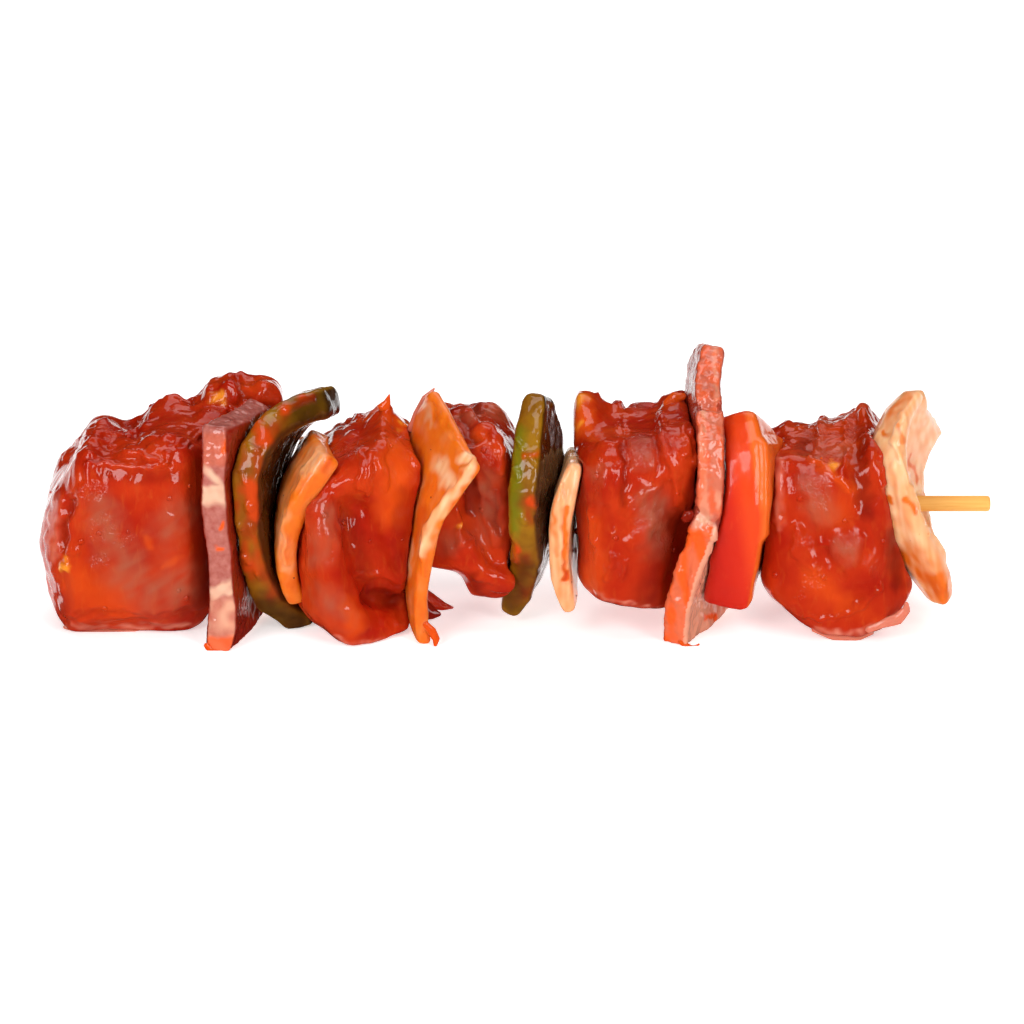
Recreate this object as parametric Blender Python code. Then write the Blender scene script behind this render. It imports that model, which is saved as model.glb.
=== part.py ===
"""Marinated pork skewer: meat, bacon, pepper and onion threaded on a round bamboo stick that lies level.

All shapes are written in millimetres about the stick's axis: x runs along the stick from the pointed end, which is
hidden in the first piece of meat, to the blunt end, y runs from the front of the skewer to its back, and z is height
above the axis. settle_on_origin then puts the middle of the finished skewer's underside at the world origin.
"""

import math

import bmesh
import bpy
from mathutils import Vector, noise

MM = 0.001

# The stick, and how the food sits on it
STICK_DIAMETER = 3.2
STICK_LENGTH = 182.0
STICK_END_X = 95.6
STICK_POINT = 11.0
STICK_SIDES = 20
AXIS_HEIGHT = 23.5
BORE_CLEARANCE = 0.3
SQUEEZE_GAP = 0.35

# How finely each kind of piece is divided: cells along x, y and z between its rounded edges
MEAT_CELLS = (5, 6, 6)
MEAT_EDGE_CELLS = 2
PLATE_CELLS = (1, 4, 9)
PLATE_EDGE_CELLS = 1
LOBE_CELLS = (3, 2, 2)

MEAT_EDGE = 6.5
BACON_THICKNESS = (5.6, 5.2)
PEPPER_WALL = (6.0, 6.4)
ONION_LAYER = (2.8, 2.8)
THICK_ONION_LAYER = (4.2, 4.4)
CUPPED_ONION_LAYER = (3.8, 3.0)

NOISE_SEED = 7

COLOURS = {  # linear red, green, blue, roughness
    "marinated_pork": ((0.55, 0.045, 0.008), 0.25),
    "bacon": ((0.65, 0.20, 0.12), 0.35),
    "green_pepper": ((0.25, 0.13, 0.008), 0.25),
    "red_pepper": ((0.75, 0.05, 0.006), 0.2),
    "onion": ((0.85, 0.32, 0.08), 0.25),
    "bamboo": ((0.93, 0.52, 0.16), 0.6),
}


# ---------------------------------------------------------------- curves and blocks


def mix(a, b, share):
    return a + (b - a) * share


def height_at(profile, x):
    """A profile is one number, or (x, value) pairs in order of x, eased from each to the next."""
    if isinstance(profile, (int, float)):
        return profile
    if x <= profile[0][0]:
        return profile[0][1]
    for (x0, value0), (x1, value1) in zip(profile, profile[1:]):
        if x <= x1:
            share = (x - x0) / (x1 - x0)
            return mix(value0, value1, share * share * (3 - 2 * share))
    return profile[-1][1]


def on_curve(points, share):
    """The point at a share from 0 to 1 of a smooth curve through all the points."""
    spans = len(points) - 1
    span = min(int(share * spans), spans - 1)
    t = share * spans - span
    p1, p2 = points[span], points[span + 1]
    p0 = points[span - 1] if span else p1 * 2 - p2
    p3 = points[span + 2] if span + 2 <= spans else p2 * 2 - p1
    return (
        p1 * 2
        + (p2 - p0) * t
        + (p0 * 2 - p1 * 5 + p2 * 4 - p3) * t**2
        + (p1 * 3 - p0 - p2 * 3 + p3) * t**3
    ) / 2


def stations(half, edge, flat_cells, edge_cells):
    """Places along one side of a block, closer together where its edges turn."""
    flat = half - edge
    inner = [flat * (2 * i / flat_cells - 1) for i in range(flat_cells + 1)]
    outer = [flat + edge * math.tan(math.pi / 4 * i / edge_cells) for i in range(1, edge_cells + 1)]
    return [-place for place in reversed(outer)] + inner + outer


def rounded_block(half, edge, flat_cells, edge_cells):
    """Points and quads of a closed block of these half sizes, with every edge rounded."""
    lines = [stations(h, edge, cells, edge_cells) for h, cells in zip(half, flat_cells)]
    last = [len(line) - 1 for line in lines]
    points, index, quads = [], {}, []

    def corner(place):
        if place not in index:
            index[place] = len(points)
            outer = Vector(line[i] for line, i in zip(lines, place))
            core = Vector(max(edge - h, min(h - edge, c)) for h, c in zip(half, outer))
            points.append(core + (outer - core).normalized() * edge)
        return index[place]

    for axis in range(3):
        across, along = (axis + 1) % 3, (axis + 2) % 3
        for end in (0, last[axis]):
            for i in range(last[across]):
                for j in range(last[along]):
                    quad = []
                    for s, t in ((i, j), (i + 1, j), (i + 1, j + 1), (i, j + 1)):
                        place = [0, 0, 0]
                        place[axis], place[across], place[along] = end, s, t
                        quad.append(corner(tuple(place)))
                    quads.append(quad if end else quad[::-1])
    return points, quads


# ---------------------------------------------------------------- the two kinds of form


def meat_block(ends, front, back, bottom, top, edge=MEAT_EDGE, cells=MEAT_CELLS):
    """A chunk between two places along the stick, whose other four sides follow profiles along x."""
    middle, half_length = sum(ends) / 2, (ends[1] - ends[0]) / 2
    half_depth = (height_at(back, middle) - height_at(front, middle)) / 2
    half_height = (height_at(top, middle) - height_at(bottom, middle)) / 2
    points, quads = rounded_block(
        (half_length, half_depth, half_height), edge, cells, MEAT_EDGE_CELLS
    )
    for p in points:
        p.x += middle
        depth_share = (p.y / half_depth + 1) / 2
        height_share = (p.z / half_height + 1) / 2
        p.y = mix(height_at(front, p.x), height_at(back, p.x), depth_share)
        p.z = mix(height_at(bottom, p.x), height_at(top, p.x), height_share)
    return points, quads


def curved_plate(front, back, thickness, bulge=0.0, edge=1.1, tip_thickness=1.0):
    """A sheet between a front and a back edge, each a curve from the bottom up. It bulges towards -x.

    Its thickness is given at the bottom and at the top, and both ends thin to a share of that.
    """
    front, back = [Vector(p) for p in front], [Vector(p) for p in back]
    thick = max(thickness)
    half_depth = (on_curve(back, 0.5) - on_curve(front, 0.5)).length / 2
    half_height = (on_curve(front, 1.0) - on_curve(front, 0.0)).length / 2
    points, quads = rounded_block(
        (thick / 2, half_depth, half_height), edge, PLATE_CELLS, PLATE_EDGE_CELLS
    )

    def sheet(v, w):
        share = min(1.0, max(0.0, (w + 1) / 2))
        place = mix(on_curve(front, share), on_curve(back, share), (v + 1) / 2)
        place.x -= bulge * (1 - v * v) * (1 - 0.75 * min(1.0, w * w))
        return place

    step = 0.02
    for p in points:
        v, w = p.y / half_depth, p.z / half_height
        across = sheet(v + step, w) - sheet(v - step, w)
        along = sheet(v, min(1.0, w + step)) - sheet(v, max(-1.0, w - step))
        normal = across.cross(along).normalized()
        slimming = mix(*thickness, (w + 1) / 2) / thick * mix(1.0, tip_thickness, abs(w) ** 3)
        place = sheet(v, w) + normal * (p.x * slimming)
        p.x, p.y, p.z = place
    return points, quads


# ---------------------------------------------------------------- working the forms


def drag(points, start, end, reach, move):
    """Moves what lies within reach of the line from start to end, as a thumb drags clay."""
    start, end, move = Vector(start), Vector(end), Vector(move)
    run = end - start
    for p in points:
        share = 0.0
        if run.length:
            share = max(0.0, min(1.0, (p - start).dot(run) / run.length_squared))
        away = (p - start - run * share).length / reach
        if away < 1:
            p += move * (1 - away * away) ** 2


def roughen(points, size, height, seed):
    """Uneven lumps of this size across and this height, the same each time for one seed."""
    offset = Vector((seed * 7.3, seed * 3.1, seed * 5.7))
    for p in points:
        p += noise.noise_vector(p / size + offset) * height


def rest_flat(points):
    """Soft food that reaches the table lies flat on it."""
    for p in points:
        p.z = max(p.z, -AXIS_HEIGHT)


def material(name):
    found = bpy.data.materials.get(name)
    if found:
        return found
    colour, roughness = COLOURS[name]
    made = bpy.data.materials.new(name)
    made.use_nodes = True
    shader = made.node_tree.nodes["Principled BSDF"]
    shader.inputs["Base Color"].default_value = (*colour, 1.0)
    shader.inputs["Roughness"].default_value = roughness
    shader.inputs["Metallic"].default_value = 0.0
    made.diffuse_color = (*colour, 1.0)
    return made


def add_object(name, form, finish):
    points, quads = form
    mesh = bpy.data.meshes.new(name)
    mesh.from_pydata([p * MM for p in points], [], quads)
    mesh.materials.append(material(finish))
    mesh.shade_smooth()
    mesh.set_sharp_from_angle(angle=math.radians(50))
    made = bpy.data.objects.new(name, mesh)
    bpy.context.collection.objects.link(made)
    return made


def helper(obj):
    """A cutter, which isn't part of the skewer."""
    obj.hide_render = True
    obj.display_type = "WIRE"
    return obj


def boxes_meet(a, b, gap):
    """Whether two objects, neither of them moved, come within the gap of each other box to box."""
    for axis in range(3):
        a_side = [vertex.co[axis] for vertex in a.data.vertices]
        b_side = [vertex.co[axis] for vertex in b.data.vertices]
        if max(a_side) + gap * MM < min(b_side) or max(b_side) + gap * MM < min(a_side):
            return False
    return True


def with_boolean(obj, other, operation):
    """Applies one Boolean to the mesh of obj."""
    modifier = obj.modifiers.new(operation.lower(), "BOOLEAN")
    modifier.operation = operation
    modifier.solver = "EXACT"
    modifier.use_self = True
    modifier.object = other
    graph = bpy.context.evaluated_depsgraph_get()
    done = bpy.data.meshes.new_from_object(obj.evaluated_get(graph))
    obj.modifiers.clear()
    obj.data = done


def swollen_copy(obj, gap):
    """A cutter a little larger than obj all round."""
    mesh = obj.data.copy()
    normals = [vertex.normal.copy() for vertex in mesh.vertices]
    for vertex, normal in zip(mesh.vertices, normals):
        vertex.co += normal * gap * MM
    made = bpy.data.objects.new(obj.name + "_room", mesh)
    bpy.context.collection.objects.link(made)
    return helper(made)


def press(pieces):
    """Each piece gives way to the firmer ones listed before it."""
    rooms = [swollen_copy(piece, SQUEEZE_GAP) for piece in pieces]
    for place, piece in enumerate(pieces):
        for room in rooms[:place]:
            if boxes_meet(piece, room, 0.0):
                with_boolean(piece, room, "DIFFERENCE")
    for room in rooms:
        bpy.data.objects.remove(room)


def keep_largest_body(obj):
    """Drops the crumbs that a cut leaves."""
    shape = bmesh.new()
    shape.from_mesh(obj.data)
    bodies, seen = [], set()
    for first in shape.faces:
        if first in seen:
            continue
        body, edge_of_body = {first}, [first]
        while edge_of_body:
            face = edge_of_body.pop()
            for beside in {other for edge in face.edges for other in edge.link_faces} - body:
                body.add(beside)
                edge_of_body.append(beside)
        seen |= body
        bodies.append(body)
    bodies.sort(key=lambda body: sum(face.calc_area() for face in body))
    for body in bodies[:-1]:
        bmesh.ops.delete(shape, geom=list(body), context="FACES")
    shape.to_mesh(obj.data)
    shape.free()


# ---------------------------------------------------------------- the stick


def turned(profile, sides):
    """A round solid about the x axis through (x, radius) pairs, closed by a fan at each end."""
    points, quads = [], []
    for x, radius in profile:
        for side in range(sides):
            angle = 2 * math.pi * side / sides
            points.append(Vector((x, radius * math.cos(angle), radius * math.sin(angle))))
    for ring in range(len(profile) - 1):
        for side in range(sides):
            ahead = (side + 1) % sides
            a, b = ring * sides + side, ring * sides + ahead
            quads.append([a, a + sides, b + sides, b][::-1])
    for ring, turn in ((0, 1), (len(profile) - 1, -1)):
        quads.append([ring * sides + side for side in range(sides)][::turn][::-1])
    return points, quads


def make_stick():
    radius = STICK_DIAMETER / 2
    start = STICK_END_X - STICK_LENGTH
    bevel = 0.35
    profile = [
        (start, 0.3),
        (start + STICK_POINT, radius),
        (STICK_END_X - bevel, radius),
        (STICK_END_X, radius - bevel),
    ]
    return add_object("skewer_stick", turned(profile, STICK_SIDES), "bamboo")


def make_bore():
    radius = STICK_DIAMETER / 2 + BORE_CLEARANCE
    start = STICK_END_X - STICK_LENGTH
    profile = [
        (start - 1.0, 0.6),
        (start + STICK_POINT - 1.0, radius),
        (STICK_END_X + 5.0, radius),
    ]
    return helper(add_object("bore", turned(profile, STICK_SIDES), "bamboo"))


# ---------------------------------------------------------------- the slices


def make_bacon_slices():
    """Two thick rashers seen from their cut edge. The second is tall, and folds over the meat beside it."""
    first = curved_plate(
        front=[
            (-58.6, -20.6, -25.4),
            (-57.0, -20.5, -16.0),
            (-57.4, -20.5, -6.0),
            (-58.2, -20.3, 4.0),
            (-58.4, -20.0, 13.0),
            (-57.8, -18.5, 23.0),
        ],
        back=[
            (-50.5, 2.0, -21.5),
            (-51.5, 8.0, -13.0),
            (-52.5, 10.5, -3.0),
            (-52.5, 10.0, 6.0),
            (-51.5, 7.0, 14.0),
            (-49.4, 2.0, 20.6),
        ],
        thickness=BACON_THICKNESS,
    )
    second = curved_plate(
        front=[
            (32.0, -16.5, -24.8),
            (32.2, -18.8, -16.0),
            (34.2, -20.0, -7.5),
            (37.2, -20.0, 0.5),
            (38.4, -20.0, 9.5),
            (38.8, -18.0, 17.5),
            (38.8, -12.0, 22.5),
            (38.6, -5.0, 26.5),
            (39.8, 1.0, 32.4),
        ],
        back=[
            (43.0, 2.0, -22.5),
            (42.5, 8.0, -12.0),
            (40.5, 11.0, 0.0),
            (38.0, 12.0, 12.0),
            (36.8, 12.5, 21.0),
            (40.0, 8.0, 30.4),
        ],
        thickness=BACON_THICKNESS,
    )
    made = []
    for number, form in enumerate((first, second), start=1):
        points, _ = form
        roughen(points, size=9.0, height=0.9, seed=number)
        rest_flat(points)
        made.append(add_object(f"bacon_slice_{number}", form, "bacon"))
    return made


def make_green_peppers():
    """Two curled strips of green pepper wall, skin towards the pointed end."""
    first = curved_plate(
        front=[
            (-41.0, -8.0, -24.2),
            (-48.4, -12.5, -17.0),
            (-52.0, -17.0, -5.0),
            (-53.0, -18.5, 4.0),
            (-52.4, -18.0, 13.0),
            (-49.0, -14.5, 19.6),
            (-43.0, -7.5, 21.6),
            (-36.4, -0.5, 21.6),
        ],
        back=[
            (-39.6, 4.0, -24.2),
            (-44.4, 7.0, -14.5),
            (-47.0, 6.0, -2.0),
            (-47.0, 5.0, 7.0),
            (-44.5, 5.0, 14.0),
            (-40.0, 6.5, 18.5),
            (-34.4, 8.0, 19.4),
        ],
        thickness=PEPPER_WALL,
        edge=2.0,
    )
    second = curved_plate(
        front=[
            (-1.4, -6.0, -22.4),
            (1.0, -9.0, -15.5),
            (2.3, -14.5, -7.0),
            (2.0, -17.5, 1.0),
            (2.0, -17.5, 9.0),
            (2.8, -11.5, 18.0),
            (4.8, -4.5, 25.2),
        ],
        back=[
            (0.6, 1.0, -20.4),
            (5.4, 5.0, -12.0),
            (7.8, 8.0, -4.0),
            (8.6, 8.0, 3.0),
            (8.4, 7.0, 9.0),
            (7.0, 3.5, 16.0),
            (5.8, 0.0, 22.6),
        ],
        thickness=PEPPER_WALL,
        edge=2.0,
        tip_thickness=0.72,
    )
    made = []
    for number, form in enumerate((first, second), start=1):
        points, _ = form
        roughen(points, size=11.0, height=0.8, seed=10 + number)
        rest_flat(points)
        made.append(add_object(f"green_pepper_{number}", form, "green_pepper"))
    return made


def make_red_pepper():
    """A thick red strip, its skin turned to the front and its cut edge towards the blunt end."""
    form = curved_plate(
        front=[
            (42.0, -14.0, -17.6),
            (42.8, -17.0, -9.0),
            (43.6, -18.5, 0.0),
            (44.4, -18.0, 8.5),
            (44.4, -14.5, 15.5),
            (43.2, -7.0, 21.6),
        ],
        back=[
            (46.4, 3.0, -10.0),
            (49.6, 8.0, -2.0),
            (50.6, 9.0, 5.0),
            (50.6, 6.0, 13.5),
        ],
        thickness=(10.6, 9.4),
        bulge=0.8,
        edge=2.2,
    )
    points, _ = form
    roughen(points, size=12.0, height=0.6, seed=20)
    return add_object("red_pepper", form, "red_pepper")


def make_onion_petals():
    """Four curved onion layers, each domed towards the pointed end."""
    petals = [
        curved_plate(
            front=[
                (-42.2, -13.5, -16.6),
                (-43.9, -15.5, -11.0),
                (-43.6, -17.5, -2.5),
                (-41.2, -18.8, 5.5),
                (-37.4, -18.4, 11.5),
                (-34.6, -17.0, 15.4),
            ],
            back=[
                (-40.0, 4.0, -12.0),
                (-41.5, 9.0, -6.0),
                (-41.6, 10.0, 1.0),
                (-40.8, 7.0, 9.0),
                (-38.0, 1.0, 15.2),
            ],
            thickness=THICK_ONION_LAYER,
            bulge=2.8,
        ),
        curved_plate(
            front=[
                (-17.0, -17.0, -24.0),
                (-17.8, -19.0, -15.5),
                (-17.0, -20.3, -6.5),
                (-14.6, -21.0, 2.5),
                (-10.5, -21.5, 9.5),
                (-6.4, -22.0, 15.6),
            ],
            back=[
                (-19.5, -8.0, -22.0),
                (-21.0, 1.0, -12.0),
                (-21.0, 6.0, -2.0),
                (-20.5, 6.5, 7.0),
                (-19.5, 4.0, 15.0),
                (-15.2, -2.0, 25.0),
            ],
            thickness=ONION_LAYER,
            bulge=0.8,
        ),
        curved_plate(
            front=[
                (11.4, -14.0, -18.4),
                (9.4, -17.0, -10.0),
                (9.0, -18.4, -1.0),
                (10.0, -18.2, 6.5),
                (12.4, -15.5, 13.6),
            ],
            back=[
                (12.2, 3.0, -14.0),
                (10.8, 9.0, -6.0),
                (10.8, 11.0, 2.0),
                (12.8, 6.0, 10.0),
            ],
            thickness=THICK_ONION_LAYER,
            bulge=-0.4,
            tip_thickness=0.6,
        ),
        curved_plate(
            front=[
                (87.2, -11.5, -16.4),
                (85.6, -15.5, -9.0),
                (82.0, -18.0, -1.5),
                (78.6, -18.5, 6.5),
                (76.6, -17.0, 13.5),
                (77.4, -11.5, 20.4),
                (80.8, -5.5, 25.2),
            ],
            back=[
                (88.0, -4.0, -17.6),
                (85.8, 3.0, -11.5),
                (83.2, 12.0, -2.5),
                (83.6, 14.0, 4.0),
                (86.0, 12.5, 11.0),
                (83.0, 6.0, 16.8),
                (81.6, -1.0, 23.6),
            ],
            thickness=CUPPED_ONION_LAYER,
            bulge=9.5,
        ),
    ]
    made = []
    for number, form in enumerate(petals, start=1):
        points, _ = form
        roughen(points, size=10.0, height=0.5, seed=30 + number)
        rest_flat(points)
        made.append(add_object(f"onion_petal_{number}", form, "onion"))
    return made


# ---------------------------------------------------------------- the meat


def make_pork_1():
    """The end chunk: squarish, wrinkled over the top, with a loose flap behind the bacon."""
    form = meat_block(
        ends=(-93.4, -59.8),
        front=((-93, -13.0), (-86, -17.0), (-70, -17.5), (-62, -15.5)),
        back=17.0,
        bottom=((-93, -22.5), (-88, -24.4)),
        top=((-93, 10.5), (-87, 14.6), (-82, 15.6), (-77, 14.8), (-71, 17.6), (-61, 18.0)),
    )
    points, _ = form
    drag(points, (-94, -17, 14), (-94, 17, 14), 14.0, (4.4, 0, 0))
    drag(points, (-94, -17, -24), (-94, 17, -24), 12.0, (1.8, 0, 0))
    drag(points, (-90, -18, -25), (-64, -18, -25), 9.0, (0, 3.6, 1.6))
    drag(points, (-66, 2, 18), (-60, 4, 18), 9.0, (6.0, 2.0, 0.5))
    drag(points, (-78, -10, 15), (-76, 10, 15), 6.0, (0, 0, -2.0))
    roughen(points, size=11.0, height=1.8, seed=41)
    rest_flat(points)
    chunk = add_object("pork_1", form, "marinated_pork")
    flap = meat_block(
        ends=(-64.0, -45.5),
        front=6.0,
        back=18.0,
        bottom=((-64, 10.0), (-45, 13.0)),
        top=((-64, 18.0), (-58, 23.0), (-53, 22.5), (-46, 22.0)),
        edge=3.6,
        cells=LOBE_CELLS,
    )
    roughen(flap[0], size=6.0, height=1.6, seed=42)
    lobe = add_object("flap", flap, "marinated_pork")
    with_boolean(chunk, lobe, "UNION")
    bpy.data.objects.remove(lobe)
    return chunk


def make_pork_2():
    """A folded chunk: a rolled lobe at the left, a deep hollow low down and a drawn-up peak."""
    form = meat_block(
        ends=(-44.0, -17.8),
        front=((-44, -15.0), (-38, -18.5), (-30, -18.5), (-20, -15.0)),
        back=((-44, 13.0), (-30, 16.0), (-20, 13.0)),
        bottom=((-44, -18.0), (-38, -22.0), (-33, -24.2), (-20, -24.0)),
        top=((-44, 8.0), (-37, 12.0), (-32, 15.0), (-26, 17.5), (-20, 15.0)),
    )
    points, _ = form
    drag(points, (-30, -19, 4), (-27, -18, -10), 6.5, (0, 5.0, 0))
    drag(points, (-25, -18, -15), (-23, -16, -17), 6.0, (0, 8.0, 1.0))
    drag(points, (-38, -17, 2), (-33, -17, -16), 6.0, (0, -2.5, 0))
    drag(points, (-24.8, 2, 17), (-24.8, 3, 17), 4.5, (0, 0, 3.5))
    drag(points, (-33, -17, -25), (-21, -17, -25), 7.0, (0, -1.6, -1.6))
    roughen(points, size=10.0, height=1.4, seed=51)
    rest_flat(points)
    return add_object("pork_2", form, "marinated_pork")


def make_pork_3():
    """A smaller chunk set back between onion and pepper, clear of the table."""
    form = meat_block(
        ends=(-19.5, 1.6),
        front=((-19, -11.0), (-12, -13.5), (0, -12.0)),
        back=16.0,
        bottom=((-19, -12.5), (-14, -11.4), (-11, -11.4), (-7.5, -17.0), (0, -18.4)),
        top=((-19, 15.0), (-9, 18.4), (-4, 17.8), (1, 15.4)),
        edge=5.5,
    )
    points, _ = form
    drag(points, (-9, -14, 10), (-4, -14, -8), 5.0, (0, 2.5, 0))
    drag(points, (-10, -14, -6), (-2, -14, -16), 5.0, (0, -2.0, 0))
    roughen(points, size=9.0, height=1.6, seed=61)
    return add_object("pork_3", form, "marinated_pork")


def make_pork_4():
    """A broad flat-fronted chunk with a fatty corner standing up at the left."""
    form = meat_block(
        ends=(12.6, 39.2),
        front=((12, -15.0), (18, -18.5), (32, -18.0), (38, -14.5)),
        back=17.0,
        bottom=((12, -15.0), (18, -16.0), (24, -18.0), (32, -18.6), (38, -17.0)),
        top=((12, 18.0), (18, 17.4), (26, 17.2), (31, 19.6), (38, 20.2)),
    )
    points, _ = form
    drag(points, (13, 2, 17), (14, 6, 17), 7.5, (-1.8, 0, 6.0))
    drag(points, (30, -17, 14), (31, -17, 2), 4.0, (0, 1.6, 0))
    drag(points, (38, -17, -14), (38, -17, -2), 11.0, (-1.5, 5.0, 0))
    drag(points, (38, 17, -14), (38, 17, -2), 11.0, (-2.5, -2.0, 0))
    roughen(points, size=10.0, height=1.3, seed=71)
    return add_object("pork_4", form, "marinated_pork")


def make_pork_5():
    """The last chunk: it sags to the table and tapers up towards the red pepper."""
    form = meat_block(
        ends=(47.6, 80.2),
        front=((48, -12.0), (55, -16.5), (60, -18.0), (72, -18.0), (79, -14.0)),
        back=17.0,
        bottom=((48, -15.0), (53, -17.4), (57, -20.2), (62, -23.0), (70, -23.4), (80, -18.0)),
        top=((48, 11.5), (56, 13.8), (68, 14.8), (73, 17.4), (79, 15.4)),
    )
    points, _ = form
    drag(points, (79, -17, 16), (79, 17, 16), 16.0, (-4.4, 0, 0))
    drag(points, (70, -18, -4), (70, -18, -6), 6.0, (0, -1.5, 0))
    roughen(points, size=9.0, height=1.5, seed=81)
    rest_flat(points)
    return add_object("pork_5", form, "marinated_pork")


# ---------------------------------------------------------------- putting it together


def settle_on_origin(food_and_stick):
    """Moves every mesh so that the middle of the skewer's underside is the world origin."""
    bpy.context.view_layer.update()
    graph = bpy.context.evaluated_depsgraph_get()
    corners = [
        Vector(corner)
        for obj in food_and_stick
        for corner in obj.evaluated_get(graph).bound_box
    ]
    low = Vector(min(c[axis] for c in corners) for axis in range(3))
    high = Vector(max(c[axis] for c in corners) for axis in range(3))
    shift = Vector((-(low.x + high.x) / 2, -(low.y + high.y) / 2, -low.z))
    for obj in bpy.data.objects:
        obj.location = shift


def main():
    for obj in list(bpy.data.objects):
        bpy.data.objects.remove(obj)
    noise.seed_set(NOISE_SEED)
    stick = make_stick()
    bore = make_bore()
    bacon = make_bacon_slices()
    green = make_green_peppers()
    red = make_red_pepper()
    onion = make_onion_petals()
    meat = [make_pork_1(), make_pork_2(), make_pork_3(), make_pork_4(), make_pork_5()]
    food = [*bacon, *green, red, *onion, *meat]
    press(food)
    for piece in food:
        with_boolean(piece, bore, "DIFFERENCE")
        keep_largest_body(piece)
    bpy.data.objects.remove(bore)
    settle_on_origin([stick, *food])


main()
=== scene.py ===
"""The looks of a raw pork skewer: wet marinated meat, bacon, sweet pepper and onion on a round bamboo stick.

Sizes are in millimetres about the stick's axis, as in the solid model: x along the stick towards its
blunt end, y from the front to the back and z up. Places on the front are given as (u, v) in the camera's
plane through the axis: u to the right and v up.
"""

import math

import bmesh
import bpy
import numpy as np
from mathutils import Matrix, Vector, noise


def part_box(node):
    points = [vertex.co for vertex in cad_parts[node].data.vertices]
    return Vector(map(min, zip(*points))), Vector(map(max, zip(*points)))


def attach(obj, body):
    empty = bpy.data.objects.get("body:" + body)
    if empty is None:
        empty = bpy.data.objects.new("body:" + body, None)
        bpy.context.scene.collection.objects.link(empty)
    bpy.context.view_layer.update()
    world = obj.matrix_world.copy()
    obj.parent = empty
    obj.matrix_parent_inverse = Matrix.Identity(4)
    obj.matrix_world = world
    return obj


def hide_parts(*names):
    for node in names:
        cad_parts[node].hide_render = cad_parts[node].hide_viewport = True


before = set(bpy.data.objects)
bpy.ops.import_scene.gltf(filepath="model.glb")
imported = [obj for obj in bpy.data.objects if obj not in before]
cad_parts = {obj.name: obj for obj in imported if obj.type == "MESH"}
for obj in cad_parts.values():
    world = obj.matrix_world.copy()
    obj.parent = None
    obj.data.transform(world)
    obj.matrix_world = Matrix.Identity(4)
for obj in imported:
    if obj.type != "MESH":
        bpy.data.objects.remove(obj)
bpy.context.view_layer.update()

MM = 0.001
STICK_END_X = 95.6

# The camera: a long lens, looking slightly down on the front
LOOK_DOWN = math.radians(20)
CAMERA_DISTANCE = 768.0
LENS = 135.0
SENSOR = 36.0
AXIS_ABOVE_CENTRE = 1.7

# Directions: along the camera's line of sight, up in its picture, and what turns the front into the back
FORWARD = np.array([0.0, math.cos(LOOK_DOWN), -math.sin(LOOK_DOWN)])
UP = np.array([0.0, math.sin(LOOK_DOWN), math.cos(LOOK_DOWN)])
MIRROR_Y = np.array([1.0, -1.0, 1.0])

# The stick's axis in the frame, and the height of the table from it
stick_low, stick_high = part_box("skewer_stick")
AXIS = np.array(
    [
        stick_high.x - STICK_END_X * MM,
        (stick_low.y + stick_high.y) / 2,
        (stick_low.z + stick_high.z) / 2,
    ]
)
FLOOR = -AXIS[2] / MM

# Sockets of a Mix node that mixes colours
FACTOR, COLOUR_A, COLOUR_B, MIXED = 0, 6, 7, 2


# ---------------- nodes and colours


def linear(hex_colour):
    """The linear colour of an sRGB hex code."""
    channels = [int(hex_colour[i : i + 2], 16) / 255 for i in (1, 3, 5)]
    return (*(c / 12.92 if c <= 0.04045 else ((c + 0.055) / 1.055) ** 2.4 for c in channels), 1.0)


def feed(tree, made, inputs):
    """Links a node's inputs to sockets or sets their values. A string is a hex colour."""
    for name, value in inputs.items():
        if isinstance(value, bpy.types.NodeSocket):
            tree.links.new(value, made.inputs[name])
        else:
            made.inputs[name].default_value = linear(value) if isinstance(value, str) else value


def add_node(tree, kind, inputs=None, out=0, **settings):
    """Adds a node with its settings and links, and returns one of its outputs."""
    made = tree.nodes.new(kind)
    for name, value in settings.items():
        setattr(made, name, value)
    feed(tree, made, inputs or {})
    return made.outputs[out] if made.outputs else made


def new_finish(name):
    """A material, the function that adds to its nodes, and the function that sets its shader."""
    material = bpy.data.materials.new(name)
    material.use_nodes = True
    tree = material.node_tree
    shader = tree.nodes["Principled BSDF"]

    def add(kind, inputs=None, out=0, **settings):
        return add_node(tree, "ShaderNode" + kind, inputs, out, **settings)

    def shade(inputs):
        feed(tree, shader, inputs)
        return material

    return add, shade


def per_mm(size):
    """The noise scale that gives lumps of about this many millimetres."""
    return 1 / (size * MM)


# ---------------- finishes


def cover(add, base, layers):
    """Lays each colour over the last, as thick as the amount painted on the piece under its name."""
    for name, colour in layers.items():
        amount = add("Attribute", out="Fac", attribute_name=name)
        base = add("Mix", {FACTOR: amount, COLOUR_A: base, COLOUR_B: colour}, MIXED, data_type="RGBA")
    return base


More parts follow.
